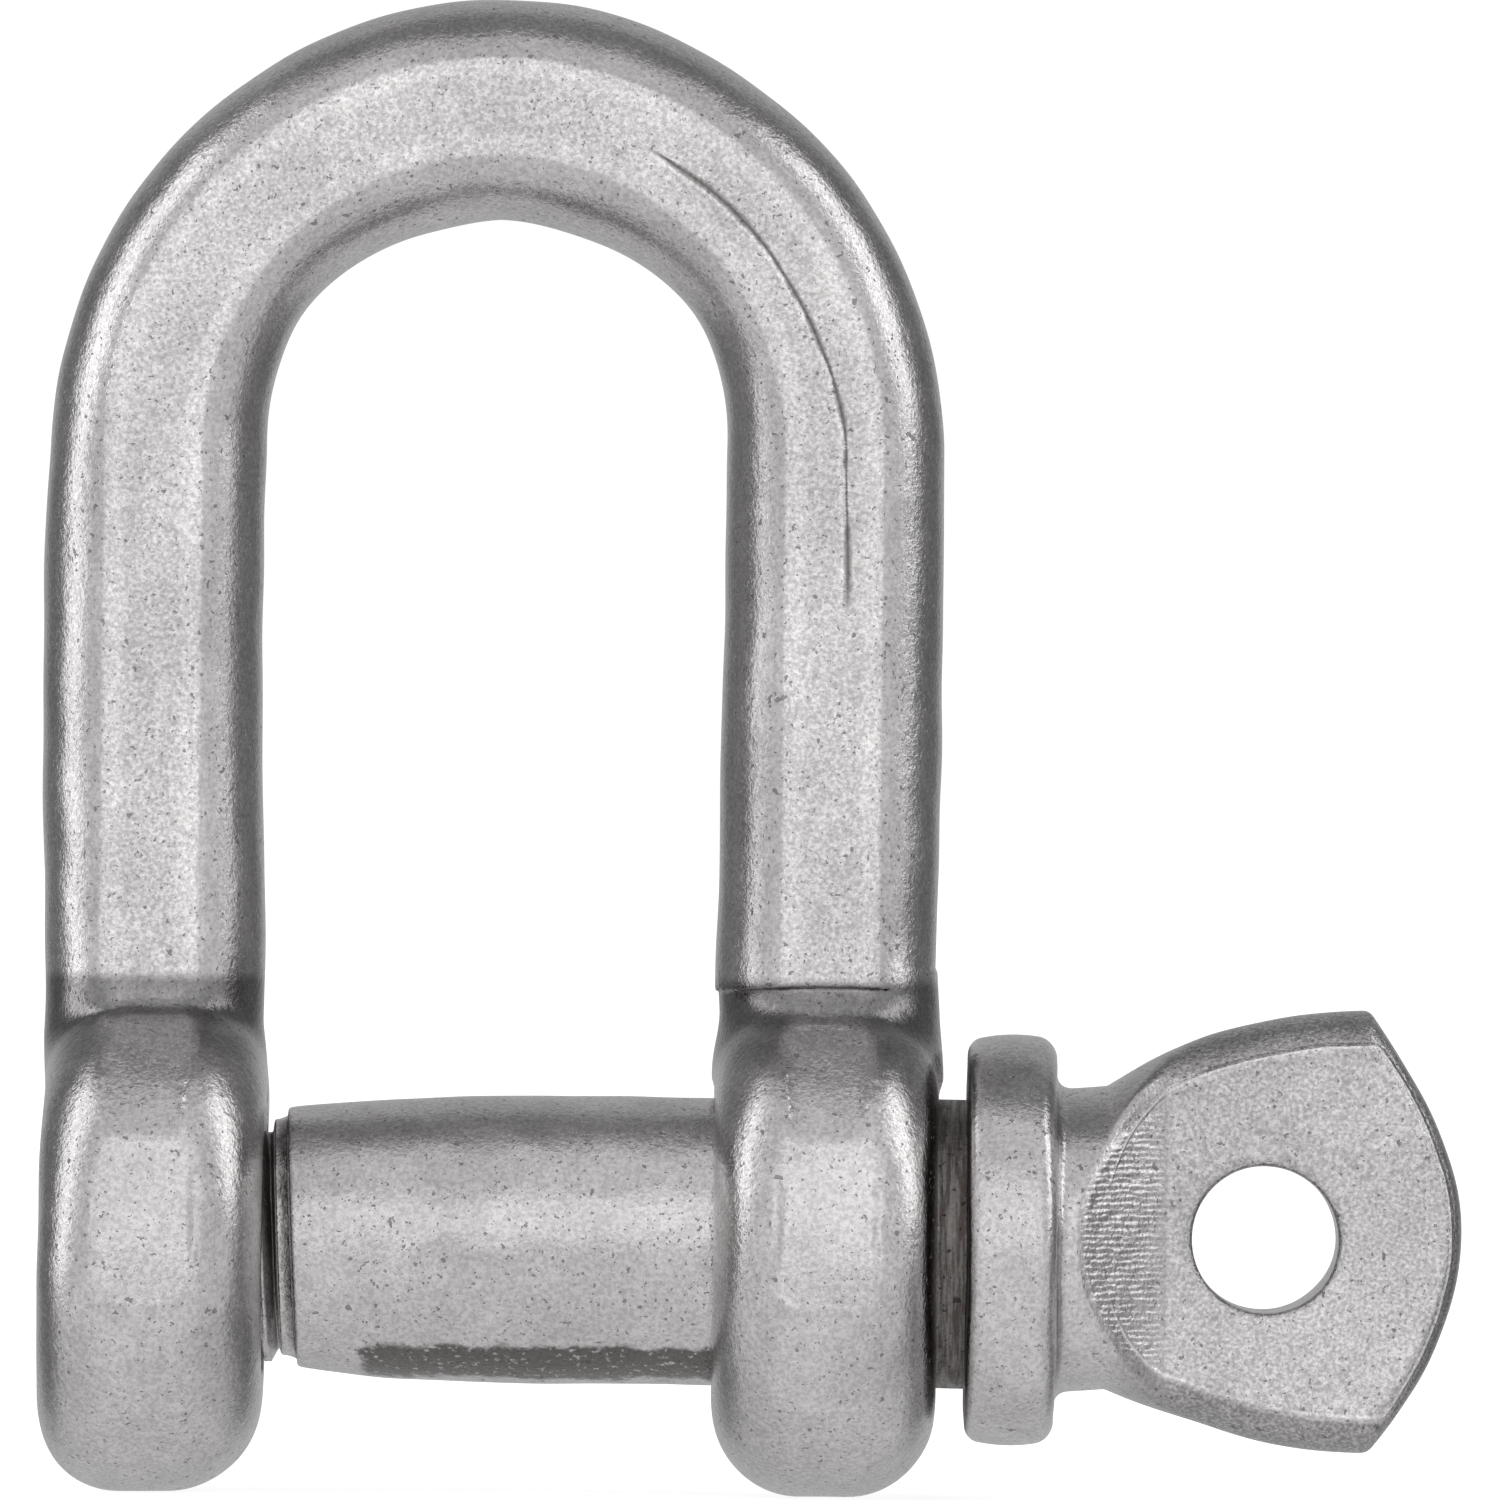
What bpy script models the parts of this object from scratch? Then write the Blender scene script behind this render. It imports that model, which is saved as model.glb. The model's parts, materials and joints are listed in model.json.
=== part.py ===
"""Dee shackle with a screw pin, for nominal 1/4 inch chain fittings.

The bow is one forging: a round bar bent to a D, with a pierced ear at each end. The ear at -X is tapped.
The pin is one forging too. It is drawn as three pieces, because it slides and turns at the same time:
its shank follows the slide, and its thread and its head follow the turn.

Frame: the origin lies on the pin's axis, midway between the ears. +X runs along the pin towards its eye,
+Z runs up through the crown and +Y runs through the hole of the eye.
"""

import math

import bmesh
import bpy
from mathutils import Matrix, Vector

MM = 0.001

# Bow
BAR_DIAMETER = 6.06 * MM
JAW_WIDTH = 12.64 * MM
CROWN_CENTRE_HEIGHT = 21.8 * MM
EAR_DIAMETER = 14.0 * MM
EAR_THICKNESS = 6.14 * MM
EAR_FILLET = 2.2 * MM
FOOT_SHARE = 0.7
CROWN_STEPS = 24

# Pin
PIN_DIAMETER = 7.94 * MM
PIN_BORE_DIAMETER = 8.5 * MM
SHOULDER_DIAMETER = 7.15 * MM
SHOULDER_X = -5.35 * MM
SHOULDER_TAPER = 6.5 * MM
COLLAR_DIAMETER = 11.3 * MM
COLLAR_WIDTH = 2.45 * MM
COLLAR_STANDOFF = 0.78 * MM
COLLAR_FILLET = 0.45 * MM
NECK_DIAMETER = 8.4 * MM
NECK_FILLET = 0.5 * MM
NECK_LENGTH = 0.8 * MM

# Thread: M7 x 1, right-handed
THREAD_PITCH = 1.0 * MM
THREAD_MAJOR_RADIUS = 3.45 * MM
THREAD_DEPTH = 0.55 * MM
THREAD_FLANK_ANGLE = math.radians(30)
THREAD_END_X = -12.0 * MM
THREAD_RADIAL_GAP = 0.12 * MM
THREAD_FLANK_GAP = 0.10 * MM
THREAD_CREST_HALF = THREAD_PITCH / 16
THREAD_CHAMFER = 0.5 * MM
THREAD_RUNOUT = 0.1 * MM
THREAD_END_STEP = 0.05 * MM

# Eye of the pin
EYE_HEIGHT = 12.2 * MM
EYE_CORNER_X = 24.3 * MM
EYE_TIP_X = 26.9 * MM
EYE_THICKNESS = 3.4 * MM
EYE_HOLE_DIAMETER = 3.95 * MM
EYE_HOLE_X = 21.4 * MM
EYE_RAMP_START_X = 16.0 * MM
EYE_RAMP_END_X = 18.3 * MM
EYE_SWELL = 0.63
EYE_HOLE_CHAMFER = 0.3 * MM
EYE_RAMP_LIFT = 0.1 * MM

# Fits and facets
PIECE_GAP = 0.3 * MM
BORE_CHAMFER = 0.15 * MM
TAP_COUNTERSINK = 0.2 * MM
TAP_CORE_STEP = 0.02 * MM
SHARP_ANGLE = math.radians(32)
BAR_SIDES = 24
ROUND_SIDES = 40
THREAD_SIDES = 32
EAR_FILLET_STEPS = 5
TAPER_STEPS = 6
EYE_TIP_STEPS = 7
EYE_FLANK_STEPS = 10
COLLAR_STEPS = 4
MERGE = 0.001 * MM
OVERRUN = 2.0 * MM

# Derived places
BAR_RADIUS = BAR_DIAMETER / 2
LEG_X = JAW_WIDTH / 2 + BAR_RADIUS
EAR_RADIUS = EAR_DIAMETER / 2
EAR_INNER_X = LEG_X - EAR_THICKNESS / 2
EAR_OUTER_X = LEG_X + EAR_THICKNESS / 2
COLLAR_X = EAR_OUTER_X + COLLAR_STANDOFF
COLLAR_END_X = COLLAR_X + COLLAR_WIDTH
NUT_MAJOR_RADIUS = THREAD_MAJOR_RADIUS + THREAD_RADIAL_GAP
NUT_COUNTERSINK_RADIUS = NUT_MAJOR_RADIUS + TAP_COUNTERSINK

# Turns a shape made about +Z so that it lies about the pin's axis, its top towards +X
ALONG_PIN = Matrix.Rotation(math.radians(90), 4, "Y")


def clear_scene():
    for old in list(bpy.data.objects):
        bpy.data.objects.remove(old, do_unlink=True)


def new_collection(name):
    collection = bpy.data.collections.new(name)
    bpy.context.scene.collection.children.link(collection)
    return collection


def steel(name, colour, roughness):
    material = bpy.data.materials.new(name)
    material.use_nodes = True
    shader = material.node_tree.nodes["Principled BSDF"]
    shader.inputs["Base Color"].default_value = (*colour, 1.0)
    shader.inputs["Metallic"].default_value = 1.0
    shader.inputs["Roughness"].default_value = roughness
    return material


def add_object(name, mesh, collection, placed=None):
    made = bpy.data.objects.new(name, mesh)
    collection.objects.link(made)
    if placed is not None:
        made.matrix_world = placed
    return made


def mesh_from(name, bm):
    bmesh.ops.recalc_face_normals(bm, faces=bm.faces)
    mesh = bpy.data.meshes.new(name)
    bm.to_mesh(mesh)
    bm.free()
    return mesh


def as_cutter(shape):
    shape.hide_render = True
    shape.display_type = "WIRE"
    return shape


def boolean(target, other, operation):
    modifier = target.modifiers.new(f"{operation.lower()}_{other.name}", "BOOLEAN")
    modifier.operation = operation
    modifier.solver = "EXACT"
    modifier.object = other


def finish(part, material):
    part.data.materials.clear()
    part.data.materials.append(material)
    part.data.shade_smooth()
    part.data.set_sharp_from_angle(angle=SHARP_ANGLE)


def arc(centre, radius, start, end, steps):
    """(radius, height) points along an arc. The angles are degrees from the +radius direction."""
    points = []
    for step in range(steps + 1):
        angle = math.radians(start + (end - start) * step / steps)
        points.append((centre[0] + radius * math.cos(angle), centre[1] + radius * math.sin(angle)))
    return points


def turned(name, profile, collection, placed=ALONG_PIN):
    """A solid of revolution about Z, from (radius, height) points down its outer side."""
    mesh = bpy.data.meshes.new(name)
    points = [(0.0, profile[0][1]), *profile, (0.0, profile[-1][1])]
    mesh.from_pydata([(r, 0.0, z) for r, z in points], [(n, n + 1) for n in range(len(points) - 1)], [])
    made = add_object(name, mesh, collection, placed)
    screw = made.modifiers.new("turn", "SCREW")
    screw.steps = ROUND_SIDES
    screw.render_steps = ROUND_SIDES
    screw.use_merge_vertices = True
    screw.merge_threshold = MERGE
    return made


def thread_profile(major_radius, depth, crest_half_width):
    """One pitch of a thread as (radius, height) points, from the middle of one root to the next."""
    flank = depth * math.tan(THREAD_FLANK_ANGLE)
    half = THREAD_PITCH / 2
    root_radius = major_radius - depth
    return [
        (root_radius, -half),
        (root_radius, -crest_half_width - flank),
        (major_radius, -crest_half_width),
        (major_radius, crest_half_width),
        (root_radius, crest_half_width + flank),
        (root_radius, half),
    ]


def threaded_rod(name, profile, low_x, high_x, collection):
    """A right-handed threaded rod about the pin's axis that covers low_x to high_x, with rough ends."""
    turns = math.ceil((high_x - low_x) / THREAD_PITCH) + 2
    bm = bmesh.new()
    corners = [bm.verts.new((radius, 0.0, height)) for radius, height in profile]
    edges = [bm.edges.new(pair) for pair in zip(corners, corners[1:])]
    bmesh.ops.spin(
        bm,
        geom=corners + edges,
        cent=(0.0, 0.0, 0.0),
        axis=(0.0, 0.0, 1.0),
        dvec=(0.0, 0.0, THREAD_PITCH / THREAD_SIDES),
        angle=turns * 2 * math.pi,
        steps=turns * THREAD_SIDES,
    )
    bmesh.ops.remove_doubles(bm, verts=bm.verts, dist=MERGE)
    ends = [edge for edge in bm.edges if edge.is_boundary]
    caps = bmesh.ops.holes_fill(bm, edges=ends, sides=0)["faces"]
    bmesh.ops.poke(bm, faces=caps)
    # whole turns from the origin, so that the pin and the tapped ear share one helix
    first_turn = math.floor(low_x / THREAD_PITCH) - 1
    placed = Matrix.Translation((first_turn * THREAD_PITCH, 0.0, 0.0)) @ ALONG_PIN
    return as_cutter(add_object(name, mesh_from(name, bm), collection, placed))


def bent_bar(name, collection):
    """The bow's bar as a welded tube: a straight leg, half a turn over the crown and the other leg."""
    foot = EAR_RADIUS * FOOT_SHARE
    path = [Vector((-LEG_X, 0.0, foot))]
    for step in range(CROWN_STEPS + 1):
        angle = math.pi * (1 - step / CROWN_STEPS)
        path.append(Vector((LEG_X * math.cos(angle), 0.0, CROWN_CENTRE_HEIGHT + LEG_X * math.sin(angle))))
    path.append(Vector((LEG_X, 0.0, foot)))

    curve = bpy.data.curves.new(name, "CURVE")
    curve.dimensions = "3D"
    curve.bevel_depth = BAR_RADIUS
    curve.bevel_resolution = (BAR_SIDES - 4) // 2
    curve.use_fill_caps = True
    spline = curve.splines.new("POLY")
    spline.points.add(len(path) - 1)
    for point, place in zip(spline.points, path):
        point.co = (*place, 1.0)
    guide = add_object(f"{name}_guide", curve, collection)
    bpy.context.view_layer.update()
    mesh = bpy.data.meshes.new_from_object(guide.evaluated_get(bpy.context.evaluated_depsgraph_get()))
    bm = bmesh.new()
    bm.from_mesh(mesh)
    bmesh.ops.remove_doubles(bm, verts=bm.verts, dist=MERGE)
    bmesh.ops.recalc_face_normals(bm, faces=bm.faces)
    bm.to_mesh(mesh)
    bm.free()
    mesh.name = name
    bar = add_object(name, mesh, collection, guide.matrix_world)
    bpy.data.objects.remove(guide, do_unlink=True)
    return bar


def ear_blank(name, low_x, high_x, cutters):
    """A disc about the pin's axis with a rounded rim."""
    rim = EAR_RADIUS - EAR_FILLET
    profile = arc((rim, high_x - EAR_FILLET), EAR_FILLET, 90, 0, EAR_FILLET_STEPS)
    profile += arc((rim, low_x + EAR_FILLET), EAR_FILLET, 0, -90, EAR_FILLET_STEPS)
    return as_cutter(turned(name, profile, cutters))


def hole_cutter(name, radius, mouth_radius, low, high, cutters, placed=ALONG_PIN):
    """A drill between two faces, low and high along its axis, that opens to mouth_radius at both."""
    lead = mouth_radius - radius
    profile = [
        (mouth_radius, high + OVERRUN),
        (mouth_radius, high),
        (radius, high - lead),
        (radius, low + lead),
        (mouth_radius, low),
        (mouth_radius, low - OVERRUN),
    ]
    return as_cutter(turned(name, profile, cutters, placed))


def make_bow(parts, cutters, material):
    bow = bent_bar("bow", parts)
    boolean(bow, ear_blank("ear_plain_blank", EAR_INNER_X, EAR_OUTER_X, cutters), "UNION")
    boolean(bow, ear_blank("ear_tapped_blank", -EAR_OUTER_X, -EAR_INNER_X, cutters), "UNION")

    bore_radius = PIN_BORE_DIAMETER / 2
    mouth_radius = bore_radius + BORE_CHAMFER
    bore = hole_cutter("plain_bore", bore_radius, mouth_radius, EAR_INNER_X, EAR_OUTER_X, cutters)
    boolean(bow, bore, "DIFFERENCE")

    widening = THREAD_FLANK_GAP - THREAD_RADIAL_GAP * math.tan(THREAD_FLANK_ANGLE)
    tap_form = thread_profile(NUT_MAJOR_RADIUS, THREAD_DEPTH, THREAD_CREST_HALF + widening)
    tap = threaded_rod("tap", tap_form, -EAR_OUTER_X - OVERRUN, -EAR_INNER_X + OVERRUN, cutters)
    boolean(bow, tap, "DIFFERENCE")
    core = NUT_MAJOR_RADIUS - THREAD_DEPTH - TAP_CORE_STEP
    sink = hole_cutter("tapped_mouths", core, NUT_COUNTERSINK_RADIUS, -EAR_OUTER_X, -EAR_INNER_X, cutters)
    boolean(bow, sink, "DIFFERENCE")
    finish(bow, material)
    return bow


def make_pin_shank(parts, material):
    """The plain part of the pin, drawn down a little towards its shoulder."""
    radius = PIN_DIAMETER / 2
    shoulder = SHOULDER_DIAMETER / 2
    top = COLLAR_X - PIECE_GAP
    profile = [(radius, top)]
    for step in range(TAPER_STEPS + 1):
        share = step / TAPER_STEPS
        height = SHOULDER_X + SHOULDER_TAPER * (1 - share)
        profile.append((shoulder + (radius - shoulder) * (1 - share**2), height))
    shank = turned("pin_shank", profile, parts)
    finish(shank, material)
    return shank


def make_pin_thread(parts, cutters, material):
    """The threaded end: a chamfered blank cut to the thread's form."""
    top = SHOULDER_X - PIECE_GAP
    end_radius = THREAD_MAJOR_RADIUS - THREAD_DEPTH - THREAD_END_STEP
    blank_radius = THREAD_MAJOR_RADIUS + THREAD_CHAMFER
    neck = [
        (end_radius, top),
        (end_radius, top - THREAD_RUNOUT),
        (blank_radius, top - THREAD_RUNOUT - (blank_radius - end_radius) / 2),
    ]
    tip = [
        (blank_radius, THREAD_END_X + blank_radius - end_radius),
        (end_radius, THREAD_END_X),
    ]
    thread = turned("pin_thread", neck + tip, parts)
    form = thread_profile(THREAD_MAJOR_RADIUS, THREAD_DEPTH, THREAD_CREST_HALF)
    rod = threaded_rod("thread_form", form, THREAD_END_X - OVERRUN, top + OVERRUN, cutters)
    boolean(thread, rod, "INTERSECT")
    finish(thread, material)
    return thread


def head_profile():
    """(radius, height) points of the eye's outline, the neck and the collar, from the tip down."""
    collar = COLLAR_DIAMETER / 2
    neck = NECK_DIAMETER / 2
    corner = EYE_HEIGHT / 2
    neck_x = COLLAR_END_X + NECK_LENGTH
    # the eye's end is an arc through the tip and the corner
    rise = EYE_TIP_X - EYE_CORNER_X
    end_radius = (corner**2 + rise**2) / (2 * rise)
    half_angle = math.degrees(math.asin(corner / end_radius))
    outline = arc((0.0, EYE_TIP_X - end_radius), end_radius, 90, 90 - half_angle, EYE_TIP_STEPS)[1:]
    # the flank swells from the neck to the corner
    for step in range(1, EYE_FLANK_STEPS + 1):
        share = 1 - step / EYE_FLANK_STEPS
        swell = 0.5 - 0.5 * math.cos(math.pi * share**EYE_SWELL)
        outline.append((neck + (corner - neck) * swell, neck_x + (EYE_CORNER_X - neck_x) * share))
    outline += arc((neck + NECK_FILLET, COLLAR_END_X + NECK_FILLET), NECK_FILLET, 180, 270, COLLAR_STEPS - 1)
    rim = collar - COLLAR_FILLET
    outline += arc((rim, COLLAR_END_X - COLLAR_FILLET), COLLAR_FILLET, 90, 0, COLLAR_STEPS)
    outline += arc((rim, COLLAR_X + COLLAR_FILLET), COLLAR_FILLET, 0, -90, COLLAR_STEPS - 1)
    return outline


def cheek_cutter(name, side, cutters):
    """The block that presses one flat of the eye, with the ramp that leads to it; side is -1 or +1."""
    flat = EYE_THICKNESS / 2
    reach = EYE_HEIGHT
    outline = [
        (EYE_RAMP_START_X, NECK_DIAMETER / 2 + EYE_RAMP_LIFT),
        (EYE_RAMP_END_X, flat),
        (EYE_TIP_X + OVERRUN, flat),
        (EYE_TIP_X + OVERRUN, reach),
        (EYE_RAMP_START_X, reach),
    ]
    bm = bmesh.new()
    face = bm.faces.new([bm.verts.new((x, side * y, -reach)) for x, y in outline])
    grown = bmesh.ops.extrude_face_region(bm, geom=[face])["geom"]
    far_corners = [item for item in grown if isinstance(item, bmesh.types.BMVert)]
    bmesh.ops.translate(bm, vec=(0.0, 0.0, 2 * reach), verts=far_corners)
    return as_cutter(add_object(name, mesh_from(name, bm), cutters))


def make_pin_head(parts, cutters, material):
    """Collar, neck and flattened eye of the pin."""
    head = turned("pin_head", head_profile(), parts)
    boolean(head, cheek_cutter("cheek_front", -1, cutters), "DIFFERENCE")
    boolean(head, cheek_cutter("cheek_back", 1, cutters), "DIFFERENCE")

    radius = EYE_HOLE_DIAMETER / 2
    flat = EYE_THICKNESS / 2
    through_y = Matrix.Translation((EYE_HOLE_X, 0.0, 0.0)) @ Matrix.Rotation(math.radians(90), 4, "X")
    drill = hole_cutter("eye_drill", radius, radius + EYE_HOLE_CHAMFER, -flat, flat, cutters, through_y)
    boolean(head, drill, "DIFFERENCE")
    finish(head, material)
    return head


def main():
    clear_scene()
    parts = new_collection("dee_shackle")
    cutters = new_collection("cutters")
    bow_steel = steel("bow_steel", (0.56, 0.55, 0.53), 0.34)
    pin_steel = steel("pin_steel", (0.58, 0.57, 0.56), 0.30)
    make_bow(parts, cutters, bow_steel)
    make_pin_shank(parts, pin_steel)
    make_pin_thread(parts, cutters, pin_steel)
    make_pin_head(parts, cutters, pin_steel)


main()
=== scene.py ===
"""Looks of the dee shackle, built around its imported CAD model.

The bow and the screw pin are each one forging, so each is one closed piece here. Their shapes are signed
distance fields in millimetres, in the CAD's own frame, that are turned into meshes. The threads are real
helical geometry.
"""

import json
import math

import bmesh
import bpy
import numpy as np
from mathutils import Matrix, Vector


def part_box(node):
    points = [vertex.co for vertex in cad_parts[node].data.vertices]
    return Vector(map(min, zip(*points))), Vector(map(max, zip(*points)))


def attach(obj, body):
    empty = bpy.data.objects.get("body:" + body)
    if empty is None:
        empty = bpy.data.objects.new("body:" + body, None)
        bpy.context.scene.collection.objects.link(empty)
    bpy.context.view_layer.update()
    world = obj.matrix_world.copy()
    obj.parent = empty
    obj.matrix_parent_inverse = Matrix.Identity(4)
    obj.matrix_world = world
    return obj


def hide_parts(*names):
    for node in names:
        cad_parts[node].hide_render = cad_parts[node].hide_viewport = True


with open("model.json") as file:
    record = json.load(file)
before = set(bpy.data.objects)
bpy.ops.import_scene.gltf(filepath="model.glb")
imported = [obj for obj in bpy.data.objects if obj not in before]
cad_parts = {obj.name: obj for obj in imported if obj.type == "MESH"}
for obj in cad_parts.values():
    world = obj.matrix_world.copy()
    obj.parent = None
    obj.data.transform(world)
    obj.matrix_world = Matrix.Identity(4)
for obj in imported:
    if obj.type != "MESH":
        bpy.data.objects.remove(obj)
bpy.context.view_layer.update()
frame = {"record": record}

MM = 0.001


def millimetres(node):
    """A CAD node's lowest and highest corner, in millimetres."""
    low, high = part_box(node)
    return np.array(low) / MM, np.array(high) / MM


mounts = {mount["name"]: mount for mount in frame["record"]["mounts"]}
bow_low, bow_high = millimetres("bow")
shank_low, shank_high = millimetres("pin_shank")
thread_low, thread_high = millimetres("pin_thread")
head_low, head_high = millimetres("pin_head")

# Bow, from the CAD's boxes and mounts
EAR_OUTER = bow_high[0]
EAR_RADIUS = bow_high[1]
EAR_INNER = mounts["jaw_face_plain"]["pos_m"][0] / MM
LEG_X = (EAR_OUTER + EAR_INNER) / 2
BAR_RADIUS = (EAR_OUTER - EAR_INNER) / 2 - 0.04
CROWN_Z = bow_high[2] - LEG_X - BAR_RADIUS
PLAIN_BORE = shank_high[2] + 0.28
BORE_EDGE = 0.3
# A field's value where its shape is absent, or less than nothing where a cut is absent
OUTSIDE = 9.0

# The bar's unevenness. A hump is (height, centre, width) and a span is (start, end), in millimetres of
# height or in degrees round the crown.
CROWN_LEAN = 0.09
LEAN_SPAN = (17, 25)
CROWN_THINNING = 0.13
THINNING_SPAN = (5, 36)
THINNING_LOSS = 0.35
LOSS_SPAN = (75, 90)
HAUNCH = (0.23, 57, 20)
CROWN_HOLLOW = (0.09, 15, 12)
BEND_FADE = (1.0, 0.0, 1.8)
LEG_SWELL = (0.035, 17.6, 3)
LEG_WAIST = (0.1, 7, 4.2)
FLAT_Y = BAR_RADIUS - 0.22
FLAT_CROWN = 0.045
FLAT_EDGE = 0.12

# The step over the right ear, and the left leg's end inside its ear
STEP_Z = EAR_RADIUS + 0.05
STEP_ARCH = 0.012
STEP_EDGE = 0.04
STEP_FLARE = (0.15, 0.0, 0.75)
STUB_SHIFT = 0.08
STUB_SWAY = 0.15
STUB_SPAN = (8.5, 5.5)
STUB_SLOPE = 0.5
STUB_EDGE = 0.3
STUB_OVERLAP = 0.6
STUB_BLEND = 0.55
LEFT_END = 4.0
LEFT_THINNING = 0.22
LEFT_THINNING_SPAN = (5.6, LEFT_END)
LEFT_BLEND = 0.35

# The ears' rims, and the two flatter patches on them
EAR_ROUNDING = 2.55
RIGHT_SHARPENING = 0.1
LEFT_SHARPENING = 0.35
LEFT_SHARPENING_SPAN = (1, -5)
RIGHT_INSET = 0.05
LEFT_INSET = 0.13
OUTER_TRIM = 0.13
OUTER_TRIM_SPAN = (-1, 5.5)
INNER_SWELL = 0.08
INNER_SWELL_SPAN = (2, 4.5)
PATCH_RADIUS = 14.0
PATCH_EDGE = 0.04
LEFT_PATCH_SHIFT = 0.05
MEDALLION_TILT = 6
MEDALLION_DEPTH = 0.27
MEDALLION_Z = 0.75
MEDALLION_HALF = (0.5, 1.7)
MEDALLION_CORNER = 0.8
MEDALLION_FLOOR = -3
FACET_TILT = 41.5
FACET_DEPTH = 0.22
FACET_HALF = 1.22
FACET_SPLAY = 0.14
FACET_MIDDLE = 5
FACET_TOP = 6.0
FACET_CORNER = 0.5
FACET_FLOOR = 2

# Pin, from the CAD's boxes and mounts
PIN_RADIUS = shank_high[2]
SHOULDER_X = shank_low[0]
SHOULDER_RADIUS = PIN_RADIUS - 0.395
SHOULDER_TAPER = 6.5
SHOULDER_EDGE = 0.05
THREAD_END = thread_low[0]
THREAD_LEAN = 0.16
LEAN_REACH = 0.8
PITCH = 1.0
MAJOR = thread_high[2]
DEPTH = 0.55
FLANK = math.tan(math.radians(30))
CREST = PITCH / 16
CREST_SPLIT = (0.07, 0.0, 0.045)
CREST_WOBBLE = 0.015
UNDERCUT = 0.4
NUT_GAP = 0.12
NUT_CREST = CREST + 0.031
NUT_MOUTH = MAJOR + NUT_GAP + 0.2
COLLAR_LOW = head_low[0]
COLLAR_HIGH = COLLAR_LOW + 2.45
COLLAR_RADIUS = head_high[1]
COLLAR_CROWN = 0.16
COLLAR_EDGES = (0.34, 0.5)
COLLAR_BLEND = 0.45
NECK_RADIUS = 4.2
SWELL_X = COLLAR_HIGH + 1.4
RAMP_START = 0.55
RAMP_LENGTH = 2.5
RAMP_POWER = 1.15
EYE_HALF = head_high[2]
EYE_TIP = head_high[0]
EYE_CORNER = EYE_TIP - 2.5
EYE_FLAT = abs(mounts["eye_face_front"]["pos_m"][1]) / MM
TIP_CURVE = 0.08
TIP_EASE = 0.00028
TIP_EDGE = 0.16
TIP_LIMIT = 8.0
HOLE_X = mounts["eye_face_front"]["pos_m"][0] / MM
HOLE_RADIUS = 2.01
HOLE_EDGE = 0.3

# How far the collar, the eye's hole, its tip and its outline sit above the shank's axis
COLLAR_RISE = 0.12
HOLE_RISE = 0.27
TIP_RISE = 0.33
TIP_RISE_SPAN = (3.5, 6.5)
EYE_RISE = 0.47
EYE_RISE_SPAN = (COLLAR_HIGH, SWELL_X + 3.0)

# The rim round the eye's faces
CORNER_SPAN = (EYE_CORNER - 0.5, EYE_CORNER + 0.7)
RIM_SPAN = (COLLAR_HIGH + 1.8, COLLAR_HIGH + 4.5)
RIM_NARROWING = 0.4
RIM_DROP = 0.26
RIM_ROUNDING = (0.12, 1.75)
RIM_CREASE = 0.06
LIP_INSET = 0.78
LIP_SHIFT = 0.28
LIP_SHAPE = (0.055, 0.0, 0.13)
LIP_SPAN = (COLLAR_HIGH + 2.4, COLLAR_HIGH + 3.6)

# A forging's unevenness, in layers of height, length and random seed
BOW_LAYERS = ((0.02, 8.0, 11), (0.012, 2.6, 12))
HEAD_LAYERS = ((0.02, 5.0, 21), (0.008, 2.0, 22))
SHANK_LAYERS = ((0.015, 5.0, 32), (0.006, 1.6, 33))


# ---------------------------------------------------------------- fields
def smooth_min(a, b, reach):
    """The smaller of two fields, rounded where they are closer than reach."""
    share = np.clip(0.5 + 0.5 * (b - a) / reach, 0, 1)
    return b + (a - b) * share - reach * share * (1 - share)


def smooth_max(a, b, reach):
    """The larger of two fields, rounded where they are closer than reach."""
    return -smooth_min(-a, -b, reach)


def smoothstep(low, high, value):
    """0 up to low and 1 from high, or the reverse if low is the higher, with a smooth rise between."""
    share = np.clip((value - low) / (high - low), 0, 1)
    return share * share * (3 - 2 * share)


def waves(x, y, z, length, seed, count=9):
    """Even, seeded unevenness between about -1 and 1, with humps about half of length across."""
    rng = np.random.default_rng(seed)
    total = 0.0
    for _ in range(count):
        direction = rng.normal(size=3)
        direction *= rng.uniform(0.7, 1.3) * 2 * math.pi / length / np.linalg.norm(direction)
        total = total + np.sin(direction[0] * x + direction[1] * y + direction[2] * z + rng.uniform(0, 6.3))
    return total / math.sqrt(count)


def hump(value, shape):
    """A smooth hump over value, of shape (height, centre, width)."""
    height, centre, width = shape
    return height * np.exp(-(((value - centre) / width) ** 2))


def uneven(surface, x, y, z, layers):
    """The surface's field or radius with layers of (height, length, seed) unevenness added."""
    for height, length, seed in layers:
        surface = surface + height * waves(x, y, z, length, seed)
    return surface


def patch_field(y, z, tilt, depth):
    """A cut into the ears' rim, flatter than it: depth deep, tilt degrees above the front or the back."""
    centre = EAR_RADIUS - depth - PATCH_RADIUS
    across = np.abs(y) - centre * math.cos(math.radians(tilt))
    return np.hypot(across, z - centre * math.sin(math.radians(tilt))) - PATCH_RADIUS


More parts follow.
